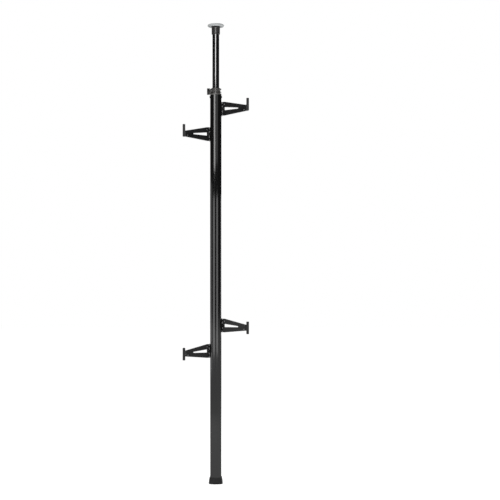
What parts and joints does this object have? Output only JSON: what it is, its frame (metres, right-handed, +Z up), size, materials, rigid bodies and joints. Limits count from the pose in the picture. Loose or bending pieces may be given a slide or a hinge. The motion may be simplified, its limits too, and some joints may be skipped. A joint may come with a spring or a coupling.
{
  "type": "bike storage stand",
  "caption": "Floor-to-ceiling tension pole with a telescoping sprung top and height-adjustable swivel arms that cradle bicycles by the top tube.",
  "frame": {"origin": "centre of the foot's underside, on the floor", "axes": "+Z up along the column, -Y towards the front where the arms reach, +X to the right seen from the front"},
  "size_m": [0.3408, 0.2521, 2.44],
  "materials": {
    "column_anodised": "satin black anodised",
    "tube_gloss": "gloss black",
    "collar_plastic": "fine moulded grain",
    "black_plastic": "fine moulded grain",
    "arm_paint": "satin black powder coat",
    "foot_rubber": "matt",
    "cradle_rubber": "matt",
    "pad_rubber": "matt light grey",
    "steel": "zinc plated",
    "black_steel": "black oxide"
  },
  "bodies": {
    "column": {"foot_boot": "foot_rubber", "column_extrusion": "column_anodised", "clamp_collar": "collar_plastic", "collar_screw_left": "black_steel", "collar_screw_right": "black_steel", "clamp_pressure_pad": "black_plastic"},
    "clamp_knob": {"clamp_knob": "black_plastic"},
    "upper_tube": {"upper_tube": "tube_gloss", "tube_guide_plug": "black_plastic", "spring_seat": "black_plastic", "spring_seat_pin": "steel", "tension_spring": "steel"},
    "plunger": {"plunger_cup": "collar_plastic", "plunger_stem": "steel", "ceiling_pad": "pad_rubber", "pad_screw": "steel"},
    "upper_right_carriage": {"upper_right_bracket": "arm_paint", "upper_right_slot_nut": "steel", "upper_right_bracket_screw_top": "black_steel", "upper_right_bracket_screw_bottom": "black_steel", "upper_right_pivot_pin": "steel"},
    "upper_right_arm": {"upper_right_arm": "arm_paint", "upper_right_saddle_sleeve": "cradle_rubber", "upper_right_end_stop": "cradle_rubber", "upper_right_lock_screw": "steel", "upper_right_cover_screw": "steel"},
    "upper_left_carriage": {"upper_left_bracket": "arm_paint", "upper_left_slot_nut": "steel", "upper_left_bracket_screw_top": "black_steel", "upper_left_bracket_screw_bottom": "black_steel", "upper_left_pivot_pin": "steel"},
    "upper_left_arm": {"upper_left_arm": "arm_paint", "upper_left_saddle_sleeve": "cradle_rubber", "upper_left_end_stop": "cradle_rubber", "upper_left_lock_screw": "steel", "upper_left_cover_screw": "steel"},
    "lower_right_carriage": {"lower_right_bracket": "arm_paint", "lower_right_slot_nut": "steel", "lower_right_bracket_screw_top": "black_steel", "lower_right_bracket_screw_bottom": "black_steel", "lower_right_pivot_pin": "steel"},
    "lower_right_arm": {"lower_right_arm": "arm_paint", "lower_right_saddle_sleeve": "cradle_rubber", "lower_right_end_stop": "cradle_rubber", "lower_right_lock_screw": "steel", "lower_right_cover_screw": "steel"},
    "lower_left_carriage": {"lower_left_bracket": "arm_paint", "lower_left_slot_nut": "steel", "lower_left_bracket_screw_top": "black_steel", "lower_left_bracket_screw_bottom": "black_steel", "lower_left_pivot_pin": "steel"},
    "lower_left_arm": {"lower_left_arm": "arm_paint", "lower_left_saddle_sleeve": "cradle_rubber", "lower_left_end_stop": "cradle_rubber", "lower_left_lock_screw": "steel", "lower_left_cover_screw": "steel"}
  },
  "joints": [
    {"name": "upper_tube_slide", "type": "slide", "parent": "column", "child": "upper_tube", "axis": [0, 0, 1], "range_m": [-0.26, 0.6]},
    {"name": "plunger_slide", "type": "slide", "parent": "upper_tube", "child": "plunger", "axis": [0, 0, 1], "range_m": [-0.025, 0], "stiffness_N_per_m": 6250, "deforming": ["tension_spring"]},
    {"name": "clamp_knob_turn", "type": "hinge", "parent": "column", "child": "clamp_knob", "pos_m": [-0.0303, 0, 2.083], "axis": [-1, 0, 0], "range_deg": [0, 360]},
    {"name": "upper_right_carriage_slide", "type": "slide", "parent": "column", "child": "upper_right_carriage", "axis": [0, 0, 1], "range_m": [-0.6895, 0.0115]},
    {"name": "upper_right_arm_swivel", "type": "hinge", "parent": "upper_right_carriage", "child": "upper_right_arm", "pos_m": [0.0413, -0.016, 1.9895], "axis": [0, 0, 1], "range_deg": [-25, 90]},
    {"name": "upper_left_carriage_slide", "type": "slide", "parent": "column", "child": "upper_left_carriage", "axis": [0, 0, 1], "range_m": [-0.555, 0.146]},
    {"name": "upper_left_arm_swivel", "type": "hinge", "parent": "upper_left_carriage", "child": "upper_left_arm", "pos_m": [-0.0413, -0.016, 1.855], "axis": [0, 0, -1], "range_deg": [-25, 90]},
    {"name": "lower_right_carriage_slide", "type": "slide", "parent": "column", "child": "lower_right_carriage", "axis": [0, 0, 1], "range_m": [-0.72, 0.36]},
    {"name": "lower_right_arm_swivel", "type": "hinge", "parent": "lower_right_carriage", "child": "lower_right_arm", "pos_m": [0.0413, -0.016, 0.84], "axis": [0, 0, 1], "range_deg": [-25, 90]},
    {"name": "lower_left_carriage_slide", "type": "slide", "parent": "column", "child": "lower_left_carriage", "axis": [0, 0, 1], "range_m": [-0.585, 0.495]},
    {"name": "lower_left_arm_swivel", "type": "hinge", "parent": "lower_left_carriage", "child": "lower_left_arm", "pos_m": [-0.0413, -0.016, 0.705], "axis": [0, 0, -1], "range_deg": [-25, 90]}
  ]
}
